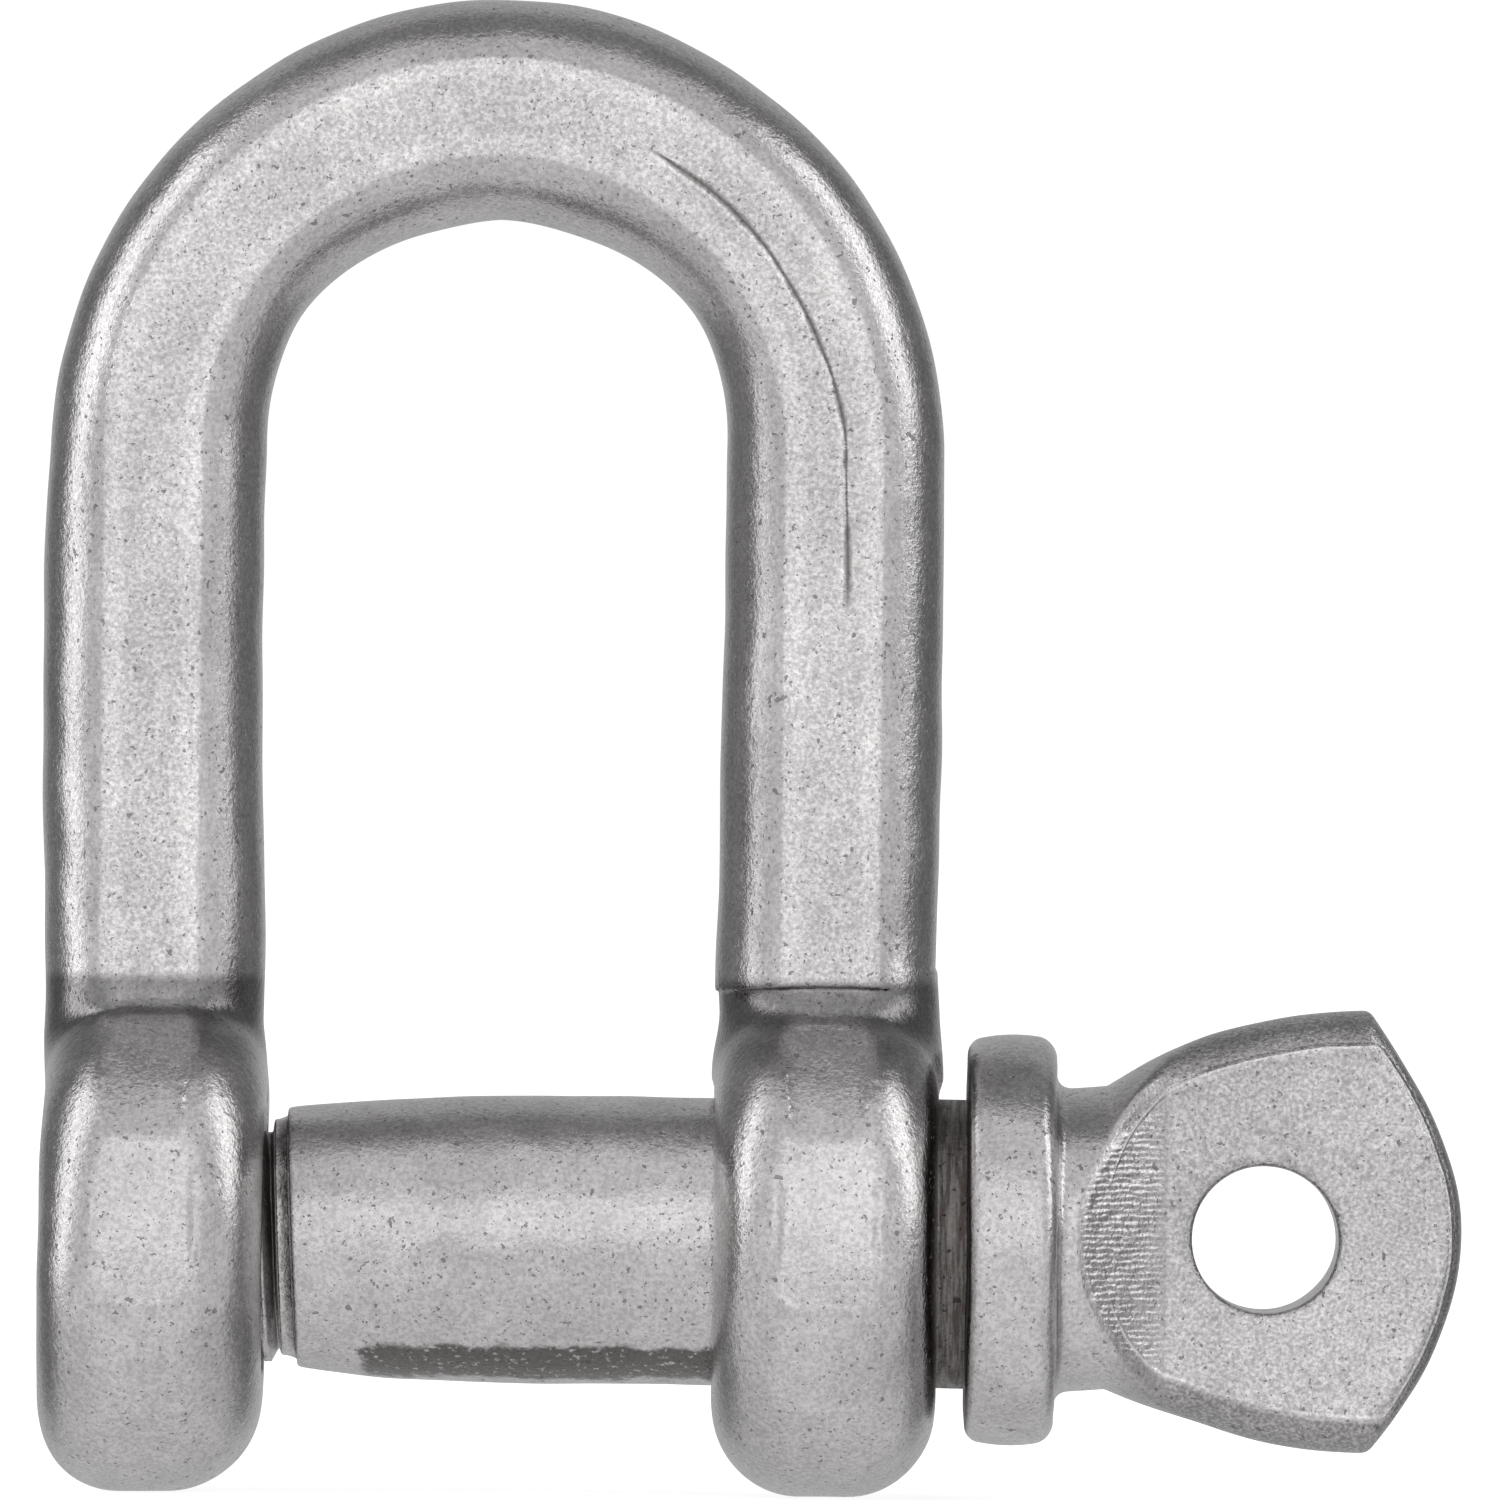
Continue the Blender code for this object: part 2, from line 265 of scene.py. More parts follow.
def bow_field(x, y, z):
    """The bow, without the tapped hole."""
    right = x > 0
    x = x - CROWN_LEAN * smoothstep(*LEAN_SPAN, z)
    out = np.abs(x) - LEG_X
    ring = np.hypot(x, np.maximum(z - CROWN_Z, 0)) - LEG_X
    axis = np.hypot(y, z)

    # The bar: bent round, thinner and squarer at the crown's shoulders, its legs waisted above the ears
    angle = np.degrees(np.arctan2(np.abs(x), np.maximum(z - CROWN_Z, 0)))
    fade = hump(np.maximum(CROWN_Z - z, 0), BEND_FADE)
    loss = 1 - THINNING_LOSS * smoothstep(*LOSS_SPAN, angle)
    outer = -CROWN_THINNING * smoothstep(*THINNING_SPAN, angle) * loss * fade
    inner = (hump(angle, HAUNCH) - hump(angle, CROWN_HOLLOW)) * fade
    shift = (outer + inner) / 2 + hump(z, LEG_SWELL) - hump(z, LEG_WAIST)
    squash = 1 + (outer - inner) / 2 / BAR_RADIUS
    in_plane = (ring - shift) / squash
    step = np.where(right, STEP_Z - STEP_ARCH * out**2, LEFT_END)
    flare = np.where(right, hump(np.maximum(z - step, 0), STEP_FLARE), 0.0)
    size = np.hypot(in_plane, y)
    bar = size - BAR_RADIUS - flare * (y / (size + 0.01)) ** 2
    flat = np.abs(y) - FLAT_Y - flare + FLAT_CROWN * ring**2
    bar = smooth_max(bar, flat, FLAT_EDGE)
    thinning = np.where(right, 0.0, LEFT_THINNING) * smoothstep(*LEFT_THINNING_SPAN, z)
    bar = np.maximum(bar + thinning, step - z)

    # The ears: discs about the pin with broad rims
    sharper = np.where(out > 0, LEFT_SHARPENING * smoothstep(*LEFT_SHARPENING_SPAN, z), 0.0)
    rounding = EAR_ROUNDING - np.where(right, RIGHT_SHARPENING, sharper)
    trim = OUTER_TRIM * smoothstep(*OUTER_TRIM_SPAN, z)
    trim = np.where(out > 0, trim, -INNER_SWELL * smoothstep(*INNER_SWELL_SPAN, z))
    trim = np.where(right, 0.0, trim)
    ear_out = out + np.where(right, RIGHT_INSET, LEFT_INSET)
    radial = axis - EAR_RADIUS + rounding
    across = np.abs(ear_out) - (EAR_OUTER - EAR_INNER) / 2 + rounding + trim
    ear = np.minimum(np.maximum(radial, across), 0)
    ear = ear + np.hypot(np.maximum(radial, 0), np.maximum(across, 0)) - rounding

    # The stub under the right step, which runs into the ear
    sway = STUB_SWAY * smoothstep(*STUB_SPAN, z)
    stub = np.hypot(out + STUB_SHIFT - sway, y) - BAR_RADIUS
    stub_flat = np.abs(y) - FLAT_Y - STUB_SLOPE * (step - z) + FLAT_CROWN * out**2
    stub = smooth_max(stub, stub_flat, STUB_EDGE)
    stub = np.maximum(np.maximum(stub, z - step - STUB_OVERLAP), -z)
    low = smooth_min(ear, np.where(right, stub, OUTSIDE), STUB_BLEND)

    # Two flatter patches on the rim: a medallion across its middle and a plain facet above that
    middle = np.abs(out + np.where(right, 0.0, LEFT_PATCH_SHIFT))
    medallion = patch_field(y, z, MEDALLION_TILT, MEDALLION_DEPTH)
    beside = np.maximum(middle - MEDALLION_HALF[0], 0)
    above = np.maximum(np.abs(z - MEDALLION_Z) - MEDALLION_HALF[1], 0)
    medallion = np.minimum(medallion, MEDALLION_CORNER - np.hypot(beside, above))
    low = smooth_max(low, np.where(z > MEDALLION_FLOOR, medallion, -OUTSIDE), PATCH_EDGE)
    facet = patch_field(y, z, FACET_TILT, FACET_DEPTH)
    beside = FACET_HALF + FACET_SPLAY * (z - FACET_MIDDLE) - middle
    facet = np.minimum(facet, smooth_min(beside, FACET_TOP - z, FACET_CORNER))
    low = smooth_max(low, np.where(z > FACET_FLOOR, facet, -OUTSIDE), PATCH_EDGE)

    body = smooth_min(bar, low, np.where(right, STEP_EDGE, LEFT_BLEND))

    # The plain bore, in the right ear only: the left one is tapped later
    bore = np.where(right, PLAIN_BORE - axis, -OUTSIDE)
    body = smooth_max(body, bore, BORE_EDGE)
    return uneven(body, x, y, z, BOW_LAYERS)


def head_field(x, y, z):
    """The pin's collar, neck and eye."""
    # The head sits a little high on the shank, and the eye higher still
    rise = COLLAR_RISE + (EYE_RISE - COLLAR_RISE) * smoothstep(*EYE_RISE_SPAN, x)
    axis = np.hypot(y, z - rise)
    middle = (COLLAR_LOW + COLLAR_HIGH) / 2
    half = (COLLAR_HIGH - COLLAR_LOW) / 2
    crown = COLLAR_CROWN * ((x - middle) / half) ** 2
    edge = np.where(x > middle, COLLAR_EDGES[1], COLLAR_EDGES[0])
    radial = axis - COLLAR_RADIUS + crown + edge
    across = np.abs(x - middle) - half + edge
    collar = np.minimum(np.maximum(radial, across), 0)
    collar = collar + np.hypot(np.maximum(radial, 0), np.maximum(across, 0)) - edge

    # The eye's outline: a neck that swells to the corners, and a curved tip
    share = np.clip((x - SWELL_X) / (EYE_CORNER - SWELL_X), 0, 1)
    outline = NECK_RADIUS + (EYE_HALF - NECK_RADIUS) * (1 - (1 - share) ** 2)
    slope = 2 * (EYE_HALF - NECK_RADIUS) * (1 - share) / (EYE_CORNER - SWELL_X)
    neck = (axis - outline) / np.sqrt(1 + slope**2)
    tip_rise = TIP_RISE + (EYE_RISE - TIP_RISE) * smoothstep(*TIP_RISE_SPAN, np.abs(z))
    high = np.minimum(np.abs(z - tip_rise), TIP_LIMIT)
    tip_slope = 2 * TIP_CURVE * high - 4 * TIP_EASE * high**3
    tip = (x - EYE_TIP + TIP_CURVE * high**2 - TIP_EASE * high**4) / np.sqrt(1 + tip_slope**2)

    # Its two faces, each with a ramp up to the neck and a low lip along its edge
    ramp = np.clip((x - COLLAR_HIGH - RAMP_START) / RAMP_LENGTH, 0, 1)
    fall = NECK_RADIUS - EYE_FLAT
    thick = EYE_FLAT + fall * (1 - ramp) ** RAMP_POWER
    ramp_slope = RAMP_POWER * fall * (1 - ramp) ** (RAMP_POWER - 1) / RAMP_LENGTH
    cheek = (np.abs(y) - thick) / np.sqrt(1 + ramp_slope**2)
    lip_inset = LIP_INSET - LIP_SHIFT * smoothstep(*CORNER_SPAN, x)
    lip = hump(np.maximum(neck, tip) + lip_inset, LIP_SHAPE)
    cheek = cheek - lip * smoothstep(*LIP_SPAN, x)

    # The rim is broadly rounded, and meets the faces and the ramps at a crease
    spread = smoothstep(*RIM_SPAN, x) * (1 - RIM_NARROWING * smoothstep(*CORNER_SPAN, x))
    neck = smooth_max(neck, tip, TIP_EDGE)
    rim = smooth_max(neck, cheek - RIM_DROP * spread, RIM_ROUNDING[0] + RIM_ROUNDING[1] * spread)
    eye = smooth_max(rim, cheek, RIM_CREASE)
    eye = np.maximum(eye, COLLAR_LOW + 1.0 - x)
    hole = HOLE_RADIUS - np.hypot(x - HOLE_X, z - HOLE_RISE)
    eye = smooth_max(eye, hole, HOLE_EDGE)
    body = smooth_min(collar, eye, COLLAR_BLEND)
    return uneven(body, x, y, z, HEAD_LAYERS)


# ---------------------------------------------------------------- meshes
def crossings(values, xs, ys, zs):
    """One vertex in each grid cell that the zero level passes through, and that vertex's number per cell."""
    inside = values < 0
    count = np.zeros(tuple(n - 1 for n in values.shape), np.int8)
    for i in (0, 1):
        for j in (0, 1):
            for k in (0, 1):
                part = inside[i : i + count.shape[0], j : j + count.shape[1], k : k + count.shape[2]]
                count += part
    cells = np.argwhere((count > 0) & (count < 8))
    number = np.full(count.shape, -1, np.int32)
    number[tuple(cells.T)] = np.arange(len(cells))
    axes = (xs, ys, zs)
    total = np.zeros((len(cells), 3))
    hits = np.zeros(len(cells))
    corners = [(i, j, k) for i in (0, 1) for j in (0, 1) for k in (0, 1)]
    for first in corners:
        for axis in range(3):
            if first[axis]:
                continue
            second = list(first)
            second[axis] = 1
            a = cells + first
            b = cells + second
            value_a = values[tuple(a.T)]
            value_b = values[tuple(b.T)]
            crossed = (value_a < 0) != (value_b < 0)
            share = np.where(crossed, value_a / np.where(crossed, value_a - value_b, 1), 0)
            place_a = np.stack([axes[n][a[:, n]] for n in range(3)], 1)
            place_b = np.stack([axes[n][b[:, n]] for n in range(3)], 1)
            total += np.where(crossed[:, None], place_a + share[:, None] * (place_b - place_a), 0)
            hits += crossed
    return total / hits[:, None], number, inside


def quads(number, inside):
    """The faces between crossed cells, wound so that their normals point out of the solid."""
    faces = []
    for axis in range(3):
        p, q = (axis + 1) % 3, (axis + 2) % 3
        step = [0, 0, 0]
        step[axis] = 1
        size = inside.shape
        low = inside[tuple(slice(0, size[n] - step[n]) for n in range(3))]
        high = inside[tuple(slice(step[n], size[n]) for n in range(3))]
        edges = np.argwhere(low != high)
        for n in (p, q):
            edges = edges[(edges[:, n] > 0) & (edges[:, n] < size[n] - 1)]
        around = []
        for dp, dq in ((-1, -1), (0, -1), (0, 0), (-1, 0)):
            cell = edges.copy()
            cell[:, p] += dp
            cell[:, q] += dq
            around.append(number[tuple(cell.T)])
        face = np.stack(around, 1)
        out = low[tuple(edges.T)]
        faces.append(np.where(out[:, None], face, face[:, ::-1]))
    return np.concatenate(faces)


def gradient(field, points, step=0.01):
    """A field's slope at each point."""
    result = np.zeros_like(points)
    for axis in range(3):
        shift = np.zeros(3)
        shift[axis] = step
        above = field(*(points + shift).T)
        below = field(*(points - shift).T)
        result[:, axis] = (above - below) / (2 * step)
    return result


def settle(field, points, rounds):
    """Moves points onto the field's zero level."""
    for _ in range(rounds):
        slope = gradient(field, points)
        size = np.maximum((slope**2).sum(1), 0.05)
        move = field(*points.T) / size
        points = points - np.clip(move, -0.2, 0.2)[:, None] * slope
    return points


def field_mesh(name, field, xs, ys, zs, relaxing):
    """A closed mesh of a field's zero level, in metres."""
    grid_y, grid_z = np.meshgrid(ys, zs, indexing="ij")
    values = np.stack([field(np.full_like(grid_y, x), grid_y, grid_z) for x in xs])
    points, number, inside = crossings(values, xs, ys, zs)
    faces = quads(number, inside)
    pairs = np.concatenate([faces[:, [n, (n + 1) % 4]] for n in range(4)])
    degree = np.bincount(pairs[:, 0], minlength=len(points)).astype(float)
    for _ in range(relaxing):
        mean = np.zeros_like(points)
        for axis in range(3):
            mean[:, axis] = np.bincount(pairs[:, 0], points[pairs[:, 1], axis], len(points)) / degree
        points = settle(field, points + 0.6 * (mean - points), 1)
    points = settle(field, points, 2)
    return new_object(name, points * MM, faces)


def new_object(name, points, faces):
    """An object from points in metres and faces."""
    mesh = bpy.data.meshes.new(name)
    mesh.from_pydata(points.tolist(), [], [[int(v) for v in face] for face in faces])
    mesh.validate()
    obj = bpy.data.objects.new(name, mesh)
    bpy.context.scene.collection.objects.link(obj)
    return obj


def turned_mesh(name, rows, sides, surface):
    """A closed mesh about X. surface(row values, angles) gives x and radius. Angle 0 points down."""
    angles = np.arange(sides) * 2 * math.pi / sides
    row_grid, angle_grid = np.meshgrid(rows, angles, indexing="ij")
    x, radius = surface(row_grid, angle_grid)
    y = radius * np.sin(angle_grid)
    z = -radius * np.cos(angle_grid)
    points = np.stack([x, y, z], -1).reshape(-1, 3)
    count = len(rows)
    faces = []
    for row in range(count - 1):
        base = row * sides
        for side in range(sides):
            after = (side + 1) % sides
            faces.append((base + side, base + after, base + sides + after, base + sides + side))
    ends = np.array([[x[0].mean(), 0, 0], [x[-1].mean(), 0, 0]])
    first = len(points)
    last = (count - 1) * sides
    for side in range(sides):
        after = (side + 1) % sides
        faces.append((first, after, side))
        faces.append((first + 1, last + side, last + after))
    points = np.concatenate([points, ends])
    obj = new_object(name, points * MM, faces)
    tidy = bmesh.new()
    tidy.from_mesh(obj.data)
    bmesh.ops.recalc_face_normals(tidy, faces=tidy.faces)
    tidy.to_mesh(obj.data)
    tidy.free()
    return obj


def combine(obj, other, operation):
    """obj becomes its exact Boolean with other, which is removed."""
    modifier = obj.modifiers.new("combine", "BOOLEAN")
    modifier.operation = operation
    modifier.solver = "EXACT"
    modifier.object = other
    bpy.context.view_layer.update()
    result = bpy.data.meshes.new_from_object(obj.evaluated_get(bpy.context.evaluated_depsgraph_get()))
    obj.modifiers.clear()
    result.name = obj.name
    obj.data = result
    bpy.data.objects.remove(other)


def thread_radius(x, angle, crest_radius, root_radius, crest_half):
    """Radius of a right-hand thread's ridge, at x and at an angle from -Z towards +Y."""
    phase = x / PITCH - angle / (2 * math.pi)
    offset = np.abs(phase - np.round(phase)) * PITCH
    radius = crest_radius - (offset - crest_half) / FLANK
    return np.clip(radius, root_radius, crest_radius), offset


# ---------------------------------------------------------------- bow
def tap_surface(rows, angle):
    """The tapped hole, with a chamfer at each mouth."""
    radius, _ = thread_radius(rows, angle, MAJOR + NUT_GAP, MAJOR - DEPTH + NUT_GAP, NUT_CREST)
    inner = NUT_MOUTH + (rows + EAR_INNER)
    outer = NUT_MOUTH - (rows + EAR_OUTER)
    radius = np.maximum(radius, np.minimum(inner, NUT_MOUTH + 1.0))
    radius = np.maximum(radius, np.minimum(outer, NUT_MOUTH + 1.0))
    return rows, radius


def graded(*stops):
    """Grid values through stops of (start, end, step)."""
    parts = []
    for low, high, step in stops:
        count = max(1, round((high - low) / step))
        parts.append(np.linspace(low, high, count, endpoint=False))
    return np.concatenate([*parts, [stops[-1][1]]])


RELAXING = 3
BOW_GRID = 0.18
STEP_GRID = 0.075
MARGIN = 0.5
bow_xs = graded((-EAR_OUTER - MARGIN, EAR_OUTER + MARGIN, BOW_GRID))
bow_ys = graded((-EAR_RADIUS - MARGIN, EAR_RADIUS + MARGIN, BOW_GRID))
bow_zs = graded(
    (-EAR_RADIUS - MARGIN, STEP_Z - 0.3, BOW_GRID),
    (STEP_Z - 0.3, STEP_Z + 0.9, STEP_GRID),
    (STEP_Z + 0.9, CROWN_Z + LEG_X + BAR_RADIUS + 0.6, BOW_GRID),
)
bow = field_mesh("bow_forging", bow_field, bow_xs, bow_ys, bow_zs, RELAXING)
THREAD_ROW = 0.05
TAP_SIDES = 96
tap_rows = graded((-EAR_OUTER - 0.6, -EAR_INNER + 0.6, THREAD_ROW))
tap = turned_mesh("tap", tap_rows, TAP_SIDES, tap_surface)
combine(bow, tap, "DIFFERENCE")


# ---------------------------------------------------------------- pin
def pin_surface(rows, angle):
    """Thread, undercut, tapered shoulder and shank. The shoulder's edge leans with the thread."""
    near = hump(rows, (THREAD_LEAN, SHOULDER_X, LEAN_REACH))
    x = rows + np.cos(angle) * near
    ridge, offset = thread_radius(x, angle, MAJOR, MAJOR - DEPTH, CREST)
    wobble = waves(x, np.sin(angle) * MAJOR, np.cos(angle) * MAJOR, 0.9, 31)
    ridge = ridge - hump(offset, CREST_SPLIT) + CREST_WOBBLE * wobble
    ridge = np.minimum(ridge, MAJOR - 0.5 + (x - THREAD_END))
    undercut_x = SHOULDER_X - UNDERCUT
    groove = MAJOR - 0.2 + 0.12 * np.clip((rows - undercut_x) / UNDERCUT, 0, 1) ** 2
    run = smoothstep(undercut_x - 0.08, undercut_x, rows)
    threaded = ridge * (1 - run) + groove * run
    share = np.clip((rows - SHOULDER_X) / SHOULDER_TAPER, 0, 1)
    shank = SHOULDER_RADIUS + (PIN_RADIUS - SHOULDER_RADIUS) * (1 - (1 - share) ** 2)
    shank = shank - SHOULDER_EDGE * np.exp(-(rows - SHOULDER_X) / SHOULDER_EDGE)
    shank = uneven(shank, x, np.sin(angle) * shank, np.cos(angle) * shank, SHANK_LAYERS)
    radius = np.where(rows < SHOULDER_X - 0.001, threaded, shank)
    return x, radius


pin_rows = graded(
    (THREAD_END, SHOULDER_X - 0.5, THREAD_ROW),
    (SHOULDER_X - 0.5, SHOULDER_X - 0.02, 0.04),
    (SHOULDER_X - 0.02, SHOULDER_X + 0.1, 0.02),
    (SHOULDER_X + 0.1, COLLAR_LOW + 1.2, 0.16),
)
PIN_SIDES = 144
pin = turned_mesh("screw_pin", pin_rows, PIN_SIDES, pin_surface)
HEAD_GRID = 0.105
head_xs = graded((COLLAR_LOW - 0.4, EYE_TIP + 0.5, HEAD_GRID))
head_ys = graded((-COLLAR_RADIUS - 0.4, COLLAR_RADIUS + 0.4, HEAD_GRID))
head_zs = graded((-EYE_HALF - 0.4, EYE_HALF + EYE_RISE + 0.6, HEAD_GRID))
head = field_mesh("head", head_field, head_xs, head_ys, head_zs, RELAXING)
combine(pin, head, "UNION")


# ---------------------------------------------------------------- materials
class Graph:
    """Builds a node tree from plain calls."""

    def __init__(self, tree):
        self.tree = tree
        self.tree.nodes.clear()

    def add(self, kind, settings=None, **inputs):
        node = self.tree.nodes.new(kind)
        for key, value in (settings or {}).items():
            setattr(node, key, value)
        for key, value in inputs.items():
            self.set(node, key, value)
        return node

    def set(self, node, key, value):
        socket = node.inputs[int(key[1:])] if key[0] == "i" and key[1:].isdigit() else node.inputs[key]
        if isinstance(value, bpy.types.NodeSocket):
            self.tree.links.new(value, socket)
        else:
            socket.default_value = value

    def math(self, operation, a, b=0.0, clamp=False):
        node = self.add("ShaderNodeMath", {"operation": operation, "use_clamp": clamp}, i0=a, i1=b)
        return node.outputs[0]

    def plus(self, a, b, clamp=False):
        return self.math("ADD", a, b, clamp)

    def minus(self, a, b, clamp=False):
        return self.math("SUBTRACT", a, b, clamp)

    def times(self, a, b):
        return self.math("MULTIPLY", a, b)

    def over(self, a, b, clamp=False):
        return self.math("DIVIDE", a, b, clamp)

    def noise(self, place, scale, detail=2.0, roughness=0.5):
        node = self.add("ShaderNodeTexNoise", None, Scale=scale, Detail=detail, Roughness=roughness)
        self.set(node, "Vector", place)
        return node.outputs["Fac"]

    def spread(self, value, low, high, to_low=0.0, to_high=1.0):
        node = self.add("ShaderNodeMapRange", {"interpolation_type": "SMOOTHSTEP"}, Value=value)
        for key, number in (("From Min", low), ("From Max", high), ("To Min", to_low), ("To Max", to_high)):
            self.set(node, key, number)
        return node.outputs["Result"]

    def tint(self, colour, factor):
        node = self.add("ShaderNodeMix", {"data_type": "RGBA", "blend_type": "MULTIPLY"}, Factor=1.0)
        self.set(node, "i6", colour)
        self.set(node, "i7", factor)
        return node.outputs[2]

    def mix(self, share, a, b):
        node = self.add("ShaderNodeMix", {"data_type": "RGBA"}, Factor=share)
        self.set(node, "i6", a)
        self.set(node, "i7", b)
        return node.outputs[2]


BOW_LIGHT = (0.625, 0.608, 0.61, 1)
BOW_DARK = (0.54, 0.525, 0.527, 1)
PIN_LIGHT = (0.635, 0.618, 0.62, 1)
PIN_DARK = (0.55, 0.535, 0.537, 1)
PIT_COLOUR = (0.11, 0.105, 0.1, 1)
GROOVE_COLOUR = (0.08, 0.075, 0.07, 1)
DARK_BROWN_COLOUR = (0.05, 0.036, 0.028, 1)
BROAD_GRAIN = 260
MIDDLE_GRAIN = 1500
FINE_GRAIN = 7800
FLECK_GRAIN = 9500
SMOOTHEST = 0.1
ROUGHEST = 0.17


def specks(graph, place, scale, level, reach):
    """Irregular specks: 1 in a speck, 0 outside it. The higher the level, the fewer there are."""
    return graph.spread(graph.noise(place, scale, 2.0, 0.6), level, level + reach)


def steel(name, light, dark, extra):
    """Forged, tumbled steel. extra gives its masks: darker brown, groove, tone, coarse and height. The tone
    mask also carries painted highlights, painted sheen and painted shade.
    """
    material = bpy.data.materials.new(name)
    material.use_nodes = True
    graph = Graph(material.node_tree)
    place = graph.add("ShaderNodeTexCoord").outputs["Object"]
    axes = graph.add("ShaderNodeSeparateXYZ", None, Vector=place).outputs
    broad = graph.noise(place, BROAD_GRAIN, 3.0, 0.55)
    middle = graph.noise(place, MIDDLE_GRAIN, 3.0, 0.6)
    fine = graph.noise(place, FINE_GRAIN, 3.0, 0.7)
    masks = extra(graph, place, axes)
    colour = graph.mix(graph.spread(broad, 0.35, 0.65), dark, light)
    colour = graph.tint(colour, graph.spread(fine, 0.35, 0.65, 0.82, 1.13))
    colour = graph.tint(colour, graph.spread(middle, 0.3, 0.7, 0.95, 1.05))
    fleck = graph.spread(graph.noise(place, FLECK_GRAIN, 2.0), 0.4, 0.6, -0.16, 0.14)
    # The tone mask brightens and darkens the colour, with painted highlights, painted sheen and painted
    # shade among it
    colour = graph.tint(colour, graph.plus(masks["tone"], graph.times(fleck, masks["coarse"])))
    small = specks(graph, place, 6500, 0.66, 0.035)
    large = specks(graph, place, 2900, 0.7, 0.02)
    pitted = graph.math("MAXIMUM", small, large)
    colour = graph.mix(graph.times(pitted, 0.62), colour, PIT_COLOUR)
    colour = graph.mix(graph.times(masks["groove"], 0.88), colour, GROOVE_COLOUR)
    # Darker brown where the extra masks put it
    colour = graph.mix(graph.times(masks["dirt"], 0.88), colour, DARK_BROWN_COLOUR)
    rough = graph.spread(middle, 0.25, 0.75, SMOOTHEST, ROUGHEST)
    rough = graph.plus(rough, graph.times(pitted, 0.2))
    rough = graph.plus(rough, graph.times(masks["dirt"], 0.3), clamp=True)
    coarse = graph.plus(0.016, graph.times(masks["coarse"], 0.02))
    relief = graph.times(fine, coarse)
    relief = graph.plus(relief, graph.times(middle, 0.022))
    relief = graph.plus(relief, graph.times(pitted, -0.018))
    relief = graph.plus(relief, masks["height"])
    bump = graph.add("ShaderNodeBump", None, Strength=1.0, Distance=MM, Height=relief)
    shader = graph.add("ShaderNodeBsdfPrincipled", None, Metallic=1.0)
    graph.set(shader, "Base Color", colour)
    graph.set(shader, "Roughness", rough)
    graph.set(shader, "Normal", bump.outputs["Normal"])
    output = graph.add("ShaderNodeOutputMaterial")
    graph.set(output, "Surface", shader.outputs["BSDF"])
    return material


# The lap line and the raised lip beside it, which carries a painted highlight, in radians round the crown
# from its top, and in millimetres
LAP_START = (0.44, 0.54)
LAP_BEND = (0.95, 1.75)
LAP_DRIFT = (-0.12, 0.42)
LAP_END = (16.8, 18.4)
LAP_WANDER = 0.3
LAP_WIDTH = (0.05, 0.14)
LAP_LIP_AND_HIGHLIGHT_OFFSET = 0.15
LAP_LIP_AND_HIGHLIGHT_HALF = 0.1

# Where the bow's tone changes: distances from the bar's middle line, heights and their soft borders. The
# changes are painted sheen on the flats and patches, a painted highlight along the flats' edges and painted
# shade in the hollows, besides a darker brown round the left ear's tapped hole.
FLAT_SIDE = (1.3, 1.45)
EDGE_INSIDE = (0.6, 1.0)
EDGE_OUTSIDE = (1.25, 1.45)
HOLLOW_FOOT = (4.4, 5.6)
HOLLOW_TOP = (STEP_Z - 0.05, STEP_Z + 0.35)
HOLLOW_SIDE = (0.9, 1.7)
HOLLOW_MIDDLE = (5.8, 6.3)
PATCH_FOOT = (-1.7, -1.5)
PATCH_TOP = (5.6, 5.9)
PATCH_SIDE = (1.15, 1.3)
TAP_DARKENING = (MAJOR + 0.25, MAJOR + 1.1)
# Painted light, as shares of the steel's colour: sheen on the flats, a highlight on their edges, shade in
# the hollows, a highlight on the lap line's lip and sheen on the patches
FLAT_PAINTED_SHEEN = 0.12
EDGE_PAINTED_HIGHLIGHT = 0.18
HOLLOW_SHADE = 0.55
LAP_LIP_PAINTED_HIGHLIGHT = 0.3
PATCH_PAINTED_SHEEN = 0.07


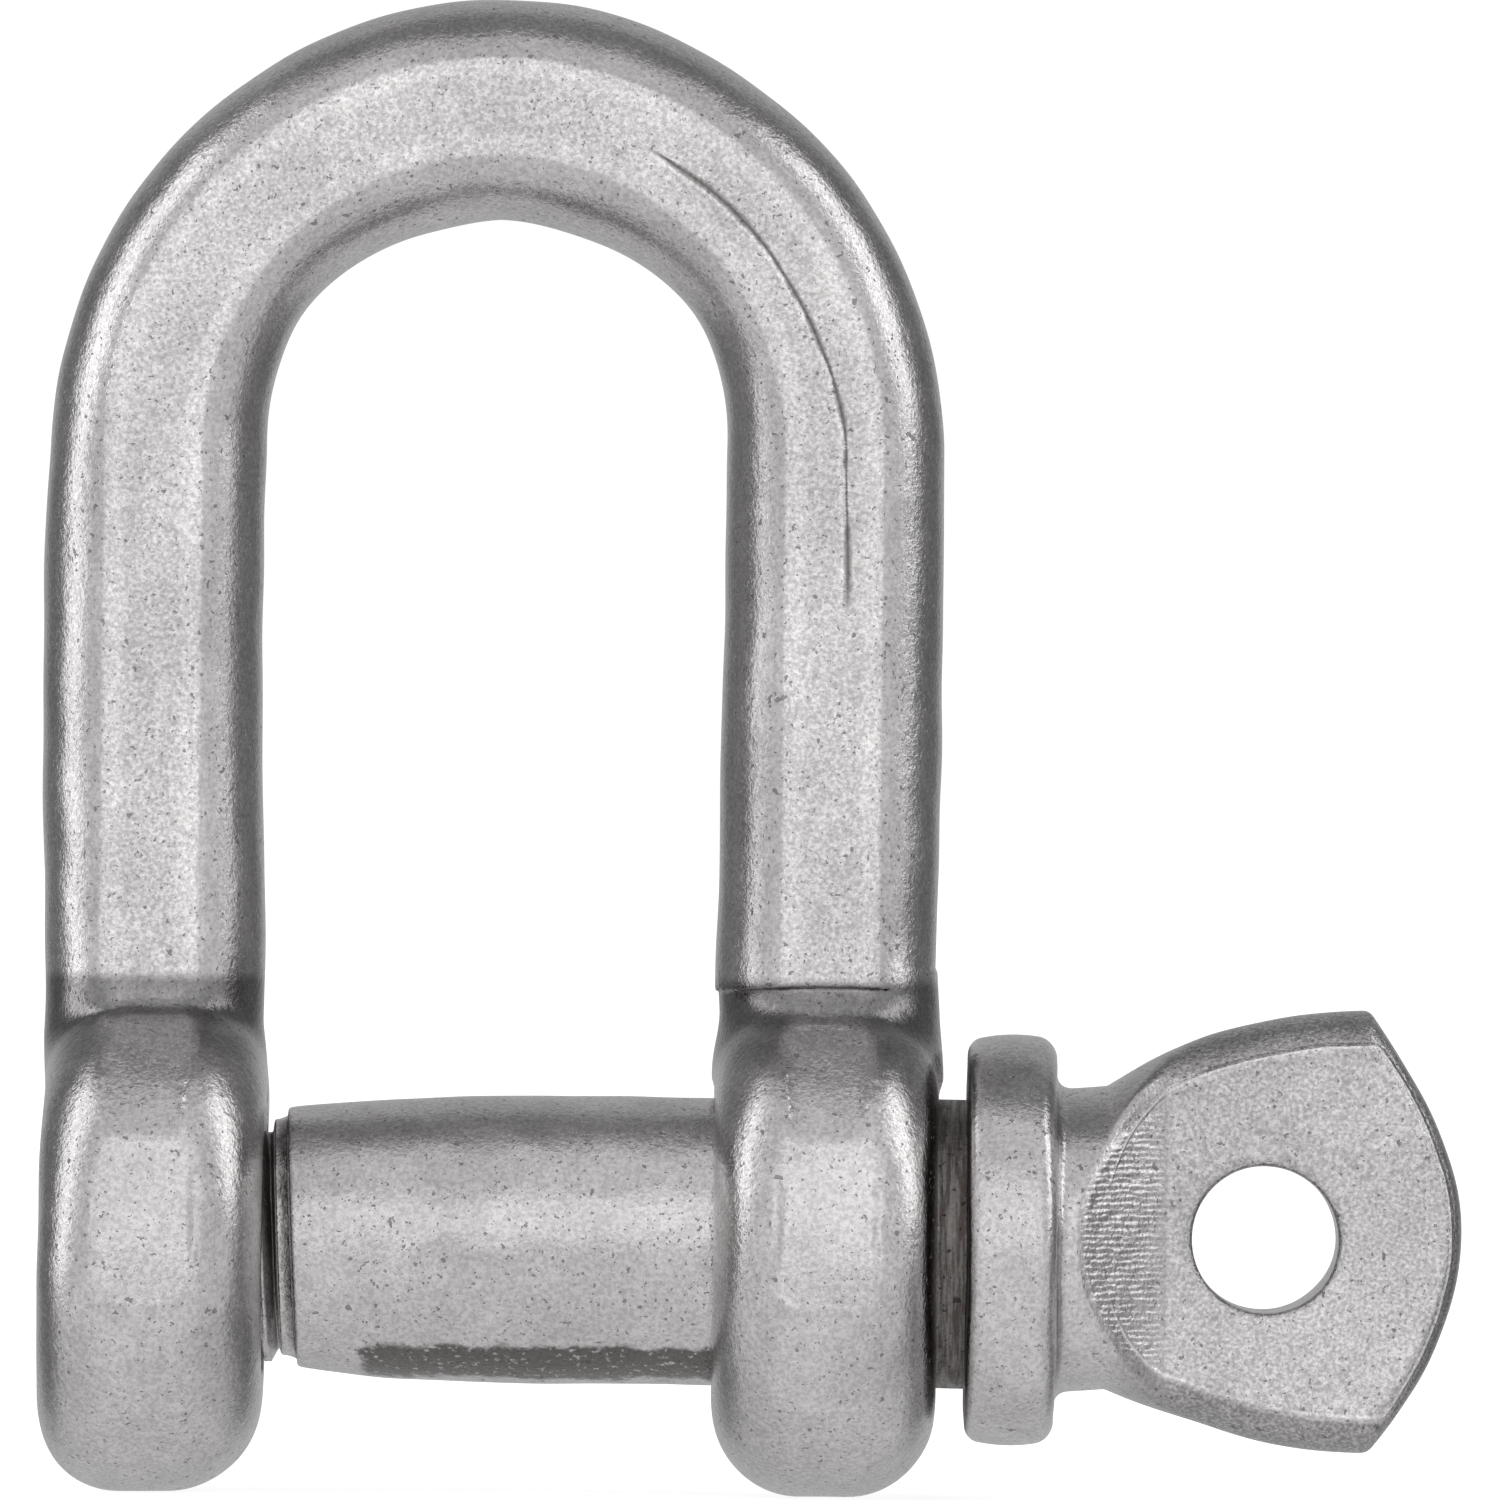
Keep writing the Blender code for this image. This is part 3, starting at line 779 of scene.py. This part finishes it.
def bow_extra(graph, place, axes):
    """A lap line on the crown and the right leg with a painted highlight on its lip, painted sheen on the
    flats and patches, a painted highlight along the flats' edges, painted shade in the hollows where the
    legs meet the ears, and darker brown round the left ear's tapped hole.
    """
    x, y, z = (graph.over(axes[n], MM) for n in range(3))
    above = graph.math("MAXIMUM", graph.minus(z, CROWN_Z), 0.0)
    ring = graph.math("SQRT", graph.plus(graph.math("POWER", x, 2.0), graph.math("POWER", above, 2.0)))
    out = graph.minus(ring, LEG_X)
    side = graph.math("ABSOLUTE", out)
    angle = graph.math("ARCTAN2", x, above)
    wander = graph.times(graph.minus(graph.noise(place, 230, 3.0, 0.5), 0.5), LAP_WANDER)
    drift = graph.spread(angle, *LAP_BEND, *LAP_DRIFT)
    line = graph.minus(graph.minus(out, drift), wander)
    width = graph.spread(graph.noise(place, 900, 2.0), 0.3, 0.7, *LAP_WIDTH)
    groove = graph.minus(1.0, graph.over(graph.math("ABSOLUTE", line), width), clamp=True)
    # The lip beside the line: a little raised, and brightened as a painted highlight
    beside = graph.math("ABSOLUTE", graph.plus(line, LAP_LIP_AND_HIGHLIGHT_OFFSET))
    lip = graph.minus(1.0, graph.over(beside, LAP_LIP_AND_HIGHLIGHT_HALF), clamp=True)
    span = graph.times(graph.spread(angle, *LAP_START), graph.spread(z, *LAP_END))
    span = graph.times(span, graph.math("LESS_THAN", y, 0.0))
    groove = graph.times(groove, span)
    lip = graph.times(lip, span)

    # Darker brown in blots round the left ear's tapped hole
    axis = graph.math("SQRT", graph.plus(graph.math("POWER", y, 2.0), graph.math("POWER", z, 2.0)))
    ring_darkening = graph.spread(axis, *TAP_DARKENING, 1.0, 0.0)
    left = graph.math("LESS_THAN", x, 0.0)
    blot = graph.spread(graph.noise(place, 800, 3.0, 0.6), 0.38, 0.62)
    dirt = graph.times(graph.times(ring_darkening, left), blot)

    flat = graph.times(graph.spread(side, *FLAT_SIDE, 1.0, 0.0), graph.spread(z, STEP_Z, STEP_Z + 0.3))
    flat = graph.times(flat, graph.spread(graph.math("ABSOLUTE", y), FLAT_Y - 0.5, FLAT_Y - 0.2))
    # Painted shade in the hollows where the legs meet the ears, strongest at the sides
    painted_hollow_shade = graph.times(graph.spread(z, *HOLLOW_FOOT), graph.spread(z, *HOLLOW_TOP, 1.0, 0.0))
    edge = graph.plus(graph.spread(side, *HOLLOW_SIDE), graph.spread(z, *HOLLOW_MIDDLE, 0.0, 0.85))
    painted_hollow_shade = graph.times(painted_hollow_shade, graph.math("MINIMUM", edge, 1.0))
    # A painted highlight along the flats' edges
    edge = graph.times(graph.spread(side, *EDGE_INSIDE), graph.spread(side, *EDGE_OUTSIDE, 1.0, 0.0))
    edge = graph.times(edge, flat)
    # Painted sheen on the leg flats
    tone = graph.plus(1.0, graph.times(flat, FLAT_PAINTED_SHEEN))
    tone = graph.plus(tone, graph.times(edge, EDGE_PAINTED_HIGHLIGHT))
    tone = graph.minus(tone, graph.times(painted_hollow_shade, HOLLOW_SHADE))
    # A painted highlight on the lap line's lip
    tone = graph.plus(tone, graph.times(lip, LAP_LIP_PAINTED_HIGHLIGHT))
    # Painted sheen on the ears' flatter patches
    tall = graph.times(graph.spread(z, *PATCH_FOOT), graph.spread(z, *PATCH_TOP, 1.0, 0.0))
    patch = graph.times(graph.spread(side, *PATCH_SIDE, 1.0, 0.0), tall)
    tone = graph.plus(tone, graph.times(patch, PATCH_PAINTED_SHEEN))
    height = graph.times(groove, -0.05)
    height = graph.plus(height, graph.times(lip, 0.02))
    return {"dirt": dirt, "groove": groove, "tone": tone, "coarse": flat, "height": height}


# Where the pin's tone changes, with soft borders
COMB_START = (COLLAR_HIGH + 0.5, COLLAR_HIGH + 0.7)
COMB_END = (COLLAR_HIGH + 3.0, COLLAR_HIGH + 3.7)
COMB_SIDE = (NECK_RADIUS - 0.3, NECK_RADIUS - 0.1)
FACE_START = (COLLAR_HIGH + 2.6, COLLAR_HIGH + 3.4)
THREAD_STOP = (SHOULDER_X - 0.5, SHOULDER_X - 0.25)
THREAD_DEPTH = (MAJOR - 0.55, MAJOR - 0.2)
GAP_START = (EAR_OUTER - 0.3, EAR_OUTER + 0.05)
GAP_STOP = (COLLAR_LOW, COLLAR_LOW + 0.12)
BURR_HIGHLIGHT_AND_SHADE_START = (COLLAR_HIGH + 1.2, COLLAR_HIGH + 2.4)
BURR_AND_HIGHLIGHT_INSET = 0.76
BURR_AND_HIGHLIGHT_TIP_INSET = 0.36
BURR_AND_HIGHLIGHT_HALF = 0.075
COMB_RATE = 36.0
SEAM_TOP = (-2.96, -2.8)
SEAM_FOOT = (-3.84, -3.7)
SEAM_START = (-3.5, -3.2)


def pin_extra(graph, place, axes):
    """Ridges on the eye's ramp, a small burr with a painted highlight and a band of painted shade on its
    rim, a seam under the shank, and darker brown in the thread and the ear-collar gap.
    """
    x, y, z = (graph.over(axes[n], MM) for n in range(3))
    shift = graph.times(graph.noise(place, 900, 2.0), 1.6)
    comb = graph.math("SINE", graph.plus(graph.times(z, COMB_RATE), graph.times(shift, 4.0)))
    streak = graph.add("ShaderNodeMapping", None, Vector=place)
    streak.inputs["Scale"].default_value = (0.12, 0.5, 1.0)
    rough = graph.noise(streak.outputs["Vector"], 5200, 2.0)
    ridges = graph.plus(graph.times(comb, 0.24), graph.times(rough, 2.6))
    start = graph.spread(x, *COMB_START)
    end = graph.spread(x, *COMB_END, 1.0, 0.0)
    raised = graph.minus(z, 0.2)
    axis = graph.math("SQRT", graph.plus(graph.math("POWER", y, 2.0), graph.math("POWER", raised, 2.0)))
    zone = graph.times(start, end)
    zone = graph.times(zone, graph.spread(axis, *COMB_SIDE, 1.0, 0.0))
    height = graph.times(graph.times(ridges, zone), 0.015)

    # Darker brown in the thread, most in its roots, and in the gap between the right ear and the collar
    axis = graph.math("SQRT", graph.plus(graph.math("POWER", y, 2.0), graph.math("POWER", z, 2.0)))
    thread = graph.spread(x, *THREAD_STOP, 1.0, 0.0)
    deep = graph.spread(axis, *THREAD_DEPTH, 1.0, 0.1)
    thread = graph.times(thread, deep)
    gap = graph.spread(x, *GAP_START)
    gap = graph.times(gap, graph.spread(x, *GAP_STOP, 1.0, 0.0))
    around = graph.add("ShaderNodeMapping", None, Vector=place)
    around.inputs["Scale"].default_value = (1.0, 0.08, 0.08)
    blot = graph.spread(graph.noise(around.outputs["Vector"], 9000, 3.0, 0.6), 0.4, 0.6, 0.78, 1.0)
    dirt = graph.times(graph.math("MAXIMUM", thread, gap), blot)
    face = graph.spread(x, *FACE_START)
    tone = graph.minus(1.0, graph.times(face, 0.04))

    # The eye's rim: a small raised burr on the crease with a painted highlight along it, and a band of
    # painted shade from there to the edge
    rise = graph.spread(x, *EYE_RISE_SPAN, COLLAR_RISE, EYE_RISE)
    high = graph.math("ABSOLUTE", graph.minus(z, rise))
    left = graph.over(graph.minus(EYE_CORNER, x), EYE_CORNER - SWELL_X, clamp=True)
    narrower = graph.times(graph.math("POWER", left, 2.0), EYE_HALF - NECK_RADIUS)
    square = graph.math("POWER", high, 2.0)
    wide = graph.math("SQRT", graph.plus(graph.math("POWER", y, 2.0), square))
    flank = graph.minus(graph.minus(EYE_HALF, narrower), wide)
    square = graph.math("POWER", graph.minus(z, TIP_RISE), 2.0)
    bend = graph.minus(TIP_CURVE, graph.times(square, TIP_EASE))
    tip = graph.minus(graph.minus(EYE_TIP, x), graph.times(square, bend))
    flank = graph.minus(flank, BURR_AND_HIGHLIGHT_INSET)
    tip = graph.minus(tip, BURR_AND_HIGHLIGHT_TIP_INSET)
    inset = graph.add("ShaderNodeMath", {"operation": "SMOOTH_MIN"}, i0=flank, i1=tip, i2=0.5).outputs[0]
    inset = graph.plus(inset, graph.times(graph.noise(place, 500, 2.0), 0.12))
    reach = graph.spread(x, *BURR_HIGHLIGHT_AND_SHADE_START)
    crease_burr_and_highlight = graph.minus(1.0, graph.over(graph.math("ABSOLUTE", inset), BURR_AND_HIGHLIGHT_HALF), clamp=True)
    crease_burr_and_highlight = graph.times(crease_burr_and_highlight, reach)
    # A band of painted shade between the crease and the rim's edge, darker towards the bottom
    painted_rim_shade = graph.times(graph.spread(inset, -0.16, -0.06, 1.0, 0.0), reach)
    painted_rim_shade = graph.times(painted_rim_shade, graph.spread(z, -2.0, 1.0, 0.3, 0.2))
    # Painted highlight on the crease and painted shade on the band beyond it
    tone = graph.minus(graph.plus(tone, graph.times(crease_burr_and_highlight, 0.35)), painted_rim_shade)
    height = graph.plus(height, graph.times(crease_burr_and_highlight, 0.03))

    ragged = graph.times(graph.minus(graph.noise(place, 1500, 3.0, 0.6), 0.5), 0.5)
    lower = graph.plus(z, ragged)
    seam = graph.times(graph.spread(lower, *SEAM_TOP, 1.0, 0.0), graph.spread(lower, *SEAM_FOOT))
    start = graph.plus(x, graph.times(ragged, 2.0))
    seam = graph.times(seam, graph.spread(start, *SEAM_START))
    seam = graph.times(seam, graph.math("LESS_THAN", x, EAR_INNER + 1.0))
    seam = graph.times(seam, graph.math("LESS_THAN", y, 0.0))
    height = graph.plus(height, graph.times(seam, -0.02))
    sparkle = graph.spread(graph.noise(place, 5200, 2.0), 0.58, 0.7, 1.0, 0.3)
    groove = graph.times(seam, sparkle)
    coarse = graph.math("MAXIMUM", face, seam)
    return {"dirt": dirt, "groove": groove, "tone": tone, "coarse": coarse, "height": height}


def dress(obj, material, body, nodes):
    """Gives a piece its material, the body it rides on and the CAD nodes it replaces."""
    obj.data.materials.clear()
    obj.data.materials.append(material)
    obj.data.polygons.foreach_set("material_index", [0] * len(obj.data.polygons))
    obj.data.polygons.foreach_set("use_smooth", [True] * len(obj.data.polygons))
    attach(obj, body)
    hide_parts(*nodes)


bow_steel = steel("bow_steel", BOW_LIGHT, BOW_DARK, bow_extra)
pin_steel = steel("pin_steel", PIN_LIGHT, PIN_DARK, pin_extra)
dress(bow, bow_steel, "bow", ["bow"])
dress(pin, pin_steel, "pin_screw", ["pin_shank", "pin_thread", "pin_head"])


# ---------------------------------------------------------------- stage
FLOOR_HALF = 3.0
floor_mesh = bpy.data.meshes.new("floor")
floor_z = (bow_low[2] - 0.05) * MM
corners = [(-1, -1), (1, -1), (1, 1), (-1, 1)]
floor_mesh.from_pydata([(FLOOR_HALF * a, FLOOR_HALF * b, floor_z) for a, b in corners], [], [(0, 1, 2, 3)])
floor = bpy.data.objects.new("floor", floor_mesh)
bpy.context.scene.collection.objects.link(floor)
floor.visible_glossy = False
floor_material = bpy.data.materials.new("floor")
floor_material.use_nodes = True
graph = Graph(floor_material.node_tree)
matt = graph.add("ShaderNodeBsdfDiffuse", None, Color=(0.8, 0.8, 0.8, 1))
glow = graph.add("ShaderNodeEmission", None, Color=(1, 1, 1, 1), Strength=0.75)
both = graph.add("ShaderNodeAddShader", None, i0=matt.outputs[0], i1=glow.outputs[0])
graph.add("ShaderNodeOutputMaterial", None, Surface=both.outputs[0])
floor_mesh.materials.append(floor_material)

world = bpy.data.worlds.new("studio")
world.use_nodes = True
bpy.context.scene.world = world
graph = Graph(world.node_tree)
toward = graph.add("ShaderNodeTexCoord").outputs["Generated"]
east, north, up = graph.add("ShaderNodeSeparateXYZ", None, Vector=toward).outputs
ahead = graph.times(north, -1.0)
aside = graph.math("ABSOLUTE", east)


def tones(value, scale, stops):
    """A grey that follows value through (value, tone) stops. scale is the last stop less the first."""
    share = graph.over(graph.minus(value, stops[0][0]), scale)
    node = graph.add("ShaderNodeValToRGB", None, Fac=share)
    ramp = node.color_ramp
    while len(ramp.elements) < len(stops):
        ramp.elements.new(0.5)
    for element, (place, tone) in zip(ramp.elements, stops):
        element.position = (place - stops[0][0]) / scale
        element.color = (tone, tone, tone, 1)
    return node.outputs[0]


# Bands of light over and under the horizon, as degrees up from straight ahead
RISE = [
    (-180, 0.46),
    (-130, 0.58),
    (-92, 0.67),
    (-20, 0.8),
    (-11, 0.82),
    (-4, 1.0),
    (37, 1.0),
    (38.5, 0.52),
    (40.5, 0.52),
    (42, 0.7),
    (83, 0.66),
    (85, 0.14),
    (90, 0.16),
    (93, 0.26),
    (113, 0.24),
    (115, 0.13),
    (118, 0.13),
    (120, 0.4),
    (180, 0.46),
]
# Bands of light round the sides, as degrees from straight ahead
ROUND = [(0, 0.8), (25, 0.76), (86, 0.64), (92, 0.24), (110, 0.2), (150, 0.14), (180, 0.4)]
rise = graph.math("DEGREES", graph.math("ARCTAN2", up, ahead))
front = tones(rise, 360, RISE)
round_angle = graph.math("DEGREES", graph.math("ARCTAN2", aside, ahead))
LEFT_SHIFT = 16.0
UNDERSIDE = (0.6, 0.6, 0.6, 1)
leftward = graph.times(graph.spread(east, -0.4, 0.0, 1.0, 0.0), LEFT_SHIFT)
side = tones(graph.minus(round_angle, leftward), 180, ROUND)
side = graph.mix(graph.spread(up, -0.7, -0.3, 1.0, 0.0), side, UNDERSIDE)
tone = graph.mix(graph.spread(aside, 0.35, 0.7), front, side)
# A dimmer patch straight ahead, low and narrow
GAP_SHADE = 0.22
gap = graph.times(graph.spread(rise, -20, -17), graph.spread(rise, 2, 5, 1.0, 0.0))
gap = graph.times(gap, graph.spread(aside, 0.14, 0.2, 1.0, 0.0))
tone = graph.tint(tone, graph.minus(1.0, graph.times(gap, GAP_SHADE)))
soft = graph.add("ShaderNodeBackground", None, Color=tone, Strength=1.1)
plain = graph.add("ShaderNodeBackground", None, Color=(1, 1, 1, 1), Strength=1.05)
seen = graph.add("ShaderNodeLightPath").outputs["Is Camera Ray"]
choice = graph.add("ShaderNodeMixShader", None, i0=seen, i1=soft.outputs[0], i2=plain.outputs[0])
graph.add("ShaderNodeOutputWorld", None, Surface=choice.outputs[0])


LIGHT_AIM = Vector((0.007, 0, 0.0135))


def soft_light(name, place, size, radiance):
    """An even rectangular light at place, facing the shackle."""
    data = bpy.data.lights.new(name, "AREA")
    data.shape = "RECTANGLE"
    data.size, data.size_y = size
    data.energy = radiance * math.pi * size[0] * size[1]
    light = bpy.data.objects.new(name, data)
    bpy.context.scene.collection.objects.link(light)
    light.location = place
    aim = LIGHT_AIM - light.location
    light.rotation_euler = aim.to_track_quat("-Z", "Y").to_euler()
    light.visible_camera = False


soft_light("left_strip", (-0.37, 0.01, 0.15), (0.15, 0.42), 1.1)
soft_light("right_strip", (0.36, 0.0, 0.2), (0.13, 0.36), 1.4)

# Camera: level, straight at the front, a hair rolled
DISTANCE = 0.6
VIEW_WIDTH = 41.355 * MM
ROLL = math.radians(0.6)
AIM_LEFT = 0.11
AIM_DOWN = 0.03
camera_data = bpy.data.cameras.new("camera")
camera = bpy.data.objects.new("camera", camera_data)
bpy.context.scene.collection.objects.link(camera)
camera_data.sensor_width = 36.0
camera_data.lens = camera_data.sensor_width * DISTANCE / VIEW_WIDTH
camera_data.clip_start = 0.01
camera_data.clip_end = 50.0
aim_x = ((head_high[0] + bow_low[0]) / 2 - AIM_LEFT) * MM
aim_z = ((bow_high[2] + bow_low[2]) / 2 - AIM_DOWN) * MM
turn = Matrix.Rotation(math.radians(90), 4, "X") @ Matrix.Rotation(ROLL, 4, "Z")
camera.matrix_world = Matrix.Translation((aim_x, -DISTANCE, aim_z)) @ turn
bpy.context.scene.camera = camera
bpy.context.scene.view_settings.view_transform = "Standard"
